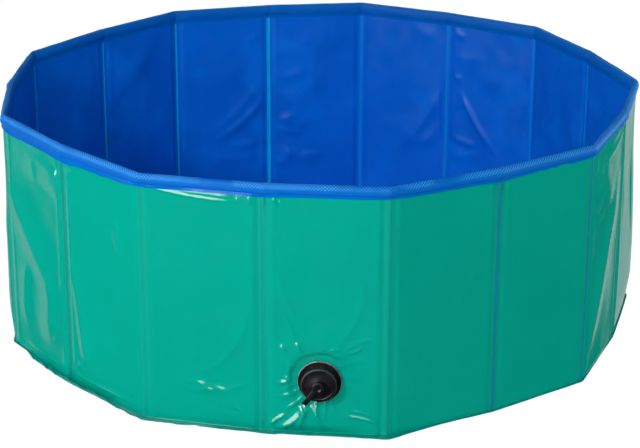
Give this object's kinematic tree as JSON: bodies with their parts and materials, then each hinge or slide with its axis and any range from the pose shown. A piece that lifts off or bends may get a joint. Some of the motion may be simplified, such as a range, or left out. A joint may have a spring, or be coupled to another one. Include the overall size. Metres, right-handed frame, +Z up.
{
  "type": "foldable pet bathtub",
  "caption": "Foldable round pet bathtub: stiff boards sealed in a vinyl wall that folds like a concertina, on a sheet floor, with a screw-capped drain low in front.",
  "frame": {"origin": "on the ground at the centre of the floor sheet", "axes": "+Z up; -Y out of the front panel along the drain's axis; +X to the right of someone facing the drain"},
  "size_m": [0.8183, 0.8305, 0.3],
  "materials": {
    "green_vinyl": "glossy coated vinyl, soft folds, slightly wavy reflections",
    "blue_vinyl": "satin coated vinyl over a woven scrim that shows as fine diagonal hatching",
    "fibreboard": "plain hard fibreboard, unseen",
    "black_plastic": "semi-matt moulded plastic",
    "black_rubber": "matt soft rubber"
  },
  "bodies": {
    "base": {"board_01": "fibreboard", "cover_01": "green_vinyl", "liner_01": "blue_vinyl", "floor_sheet": "blue_vinyl", "drain_body": "black_plastic", "drain_nut": "black_plastic", "drain_washers": "black_rubber"},
    "panel_02": {"board_02": "fibreboard", "cover_02": "green_vinyl", "liner_02": "blue_vinyl"},
    "panel_03": {"board_03": "fibreboard", "cover_03": "green_vinyl", "liner_03": "blue_vinyl"},
    "panel_04": {"board_04": "fibreboard", "cover_04": "green_vinyl", "liner_04": "blue_vinyl"},
    "panel_05": {"board_05": "fibreboard", "cover_05": "green_vinyl", "liner_05": "blue_vinyl"},
    "panel_06": {"board_06": "fibreboard", "cover_06": "green_vinyl", "liner_06": "blue_vinyl"},
    "panel_07": {"board_07": "fibreboard", "cover_07": "green_vinyl", "liner_07": "blue_vinyl"},
    "panel_08": {"board_08": "fibreboard", "cover_08": "green_vinyl", "liner_08": "blue_vinyl"},
    "panel_09": {"board_09": "fibreboard", "cover_09": "green_vinyl", "liner_09": "blue_vinyl"},
    "panel_10": {"board_10": "fibreboard", "cover_10": "green_vinyl", "liner_10": "blue_vinyl"},
    "panel_11": {"board_11": "fibreboard", "cover_11": "green_vinyl", "liner_11": "blue_vinyl"},
    "panel_12": {"board_12": "fibreboard", "cover_12": "green_vinyl", "liner_12": "blue_vinyl"},
    "panel_13": {"board_13": "fibreboard", "cover_13": "green_vinyl", "liner_13": "blue_vinyl"},
    "panel_14": {"board_14": "fibreboard", "cover_14": "green_vinyl", "liner_14": "blue_vinyl"},
    "panel_15": {"board_15": "fibreboard", "cover_15": "green_vinyl", "liner_15": "blue_vinyl"},
    "panel_16": {"board_16": "fibreboard", "cover_16": "green_vinyl", "liner_16": "blue_vinyl"},
    "panel_17": {"board_17": "fibreboard", "cover_17": "green_vinyl", "liner_17": "blue_vinyl"},
    "panel_18": {"board_18": "fibreboard", "cover_18": "green_vinyl", "liner_18": "blue_vinyl"},
    "strap": {"cap_strap": "black_plastic"},
    "cap": {"drain_cap": "black_plastic"}
  },
  "joints": [
    {"name": "fold_01_02", "type": "hinge", "parent": "base", "child": "panel_02", "pos_m": [0.11141, -0.38854, 0.15], "axis": [0, 0, 1], "range_deg": [-12, 133]},
    {"name": "fold_02_03", "type": "hinge", "parent": "panel_02", "child": "panel_03", "pos_m": [0.23177, -0.319, 0.15], "axis": [0, 0, 1], "range_deg": [-133, 12]},
    {"name": "fold_03_04", "type": "hinge", "parent": "panel_03", "child": "panel_04", "pos_m": [0.3351, -0.22603, 0.15], "axis": [0, 0, 1], "range_deg": [-12, 133]},
    {"name": "fold_04_05", "type": "hinge", "parent": "panel_04", "child": "panel_05", "pos_m": [0.38259, -0.09539, 0.15], "axis": [0, 0, 1], "range_deg": [-133, 12]},
    {"name": "fold_05_06", "type": "hinge", "parent": "panel_05", "child": "panel_06", "pos_m": [0.40199, 0.04225, 0.15], "axis": [0, 0, 1], "range_deg": [-12, 133]},
    {"name": "fold_06_07", "type": "hinge", "parent": "panel_06", "child": "panel_07", "pos_m": [0.3544, 0.17285, 0.15], "axis": [0, 0, 1], "range_deg": [-133, 12]},
    {"name": "fold_07_08", "type": "hinge", "parent": "panel_07", "child": "panel_08", "pos_m": [0.28078, 0.29076, 0.15], "axis": [0, 0, 1], "range_deg": [-12, 133]},
    {"name": "fold_08_09", "type": "hinge", "parent": "panel_08", "child": "panel_09", "pos_m": [0.16038, 0.36022, 0.15], "axis": [0, 0, 1], "range_deg": [-133, 12]},
    {"name": "fold_09_10", "type": "hinge", "parent": "panel_09", "child": "panel_10", "pos_m": [0.0282, 0.40322, 0.15], "axis": [0, 0, 1], "range_deg": [-12, 133]},
    {"name": "fold_01_18", "type": "hinge", "parent": "base", "child": "panel_18", "pos_m": [-0.02751, -0.39334, 0.15], "axis": [0, 0, 1], "range_deg": [-12, 133]},
    {"name": "fold_18_17", "type": "hinge", "parent": "panel_18", "child": "panel_17", "pos_m": [-0.1644, -0.36926, 0.15], "axis": [0, 0, 1], "range_deg": [-133, 12]},
    {"name": "fold_17_16", "type": "hinge", "parent": "panel_17", "child": "panel_16", "pos_m": [-0.27391, -0.28364, 0.15], "axis": [0, 0, 1], "range_deg": [-12, 133]},
    {"name": "fold_16_15", "type": "hinge", "parent": "panel_16", "child": "panel_15", "pos_m": [-0.36329, -0.17719, 0.15], "axis": [0, 0, 1], "range_deg": [-133, 12]},
    {"name": "fold_15_14", "type": "hinge", "parent": "panel_15", "child": "panel_14", "pos_m": [-0.39215, -0.04122, 0.15], "axis": [0, 0, 1], "range_deg": [-12, 133]},
    {"name": "fold_14_13", "type": "hinge", "parent": "panel_14", "child": "panel_13", "pos_m": [-0.3922, 0.09778, 0.15], "axis": [0, 0, 1], "range_deg": [-133, 12]},
    {"name": "fold_13_12", "type": "hinge", "parent": "panel_13", "child": "panel_12", "pos_m": [-0.32689, 0.22049, 0.15], "axis": [0, 0, 1], "range_deg": [-12, 133]},
    {"name": "fold_12_11", "type": "hinge", "parent": "panel_12", "child": "panel_11", "pos_m": [-0.23758, 0.32701, 0.15], "axis": [0, 0, 1], "range_deg": [-133, 12]},
    {"name": "cap_travel", "type": "slide", "parent": "base", "child": "strap", "axis": [0, -1, 0], "range_m": [0, 0.012]},
    {"name": "cap_turn", "type": "hinge", "parent": "strap", "child": "cap", "pos_m": [0.03645, -0.39334, 0.067], "axis": [0, -1, 0], "range_deg": [0, 1080]}
  ],
  "couplings": [
    {"joint": "fold_02_03", "follows": "fold_01_02", "ratio": -1},
    {"joint": "fold_03_04", "follows": "fold_01_02", "ratio": 1},
    {"joint": "fold_04_05", "follows": "fold_01_02", "ratio": -1},
    {"joint": "fold_05_06", "follows": "fold_01_02", "ratio": 1},
    {"joint": "fold_06_07", "follows": "fold_01_02", "ratio": -1},
    {"joint": "fold_07_08", "follows": "fold_01_02", "ratio": 1},
    {"joint": "fold_08_09", "follows": "fold_01_02", "ratio": -1},
    {"joint": "fold_09_10", "follows": "fold_01_02", "ratio": 1},
    {"joint": "fold_01_18", "follows": "fold_01_02", "ratio": 1},
    {"joint": "fold_18_17", "follows": "fold_01_02", "ratio": -1},
    {"joint": "fold_17_16", "follows": "fold_01_02", "ratio": 1},
    {"joint": "fold_16_15", "follows": "fold_01_02", "ratio": -1},
    {"joint": "fold_15_14", "follows": "fold_01_02", "ratio": 1},
    {"joint": "fold_14_13", "follows": "fold_01_02", "ratio": -1},
    {"joint": "fold_13_12", "follows": "fold_01_02", "ratio": 1},
    {"joint": "fold_12_11", "follows": "fold_01_02", "ratio": -1},
    {"joint": "cap_turn", "follows": "cap_travel", "rad_per_m": 1570.8}
  ]
}
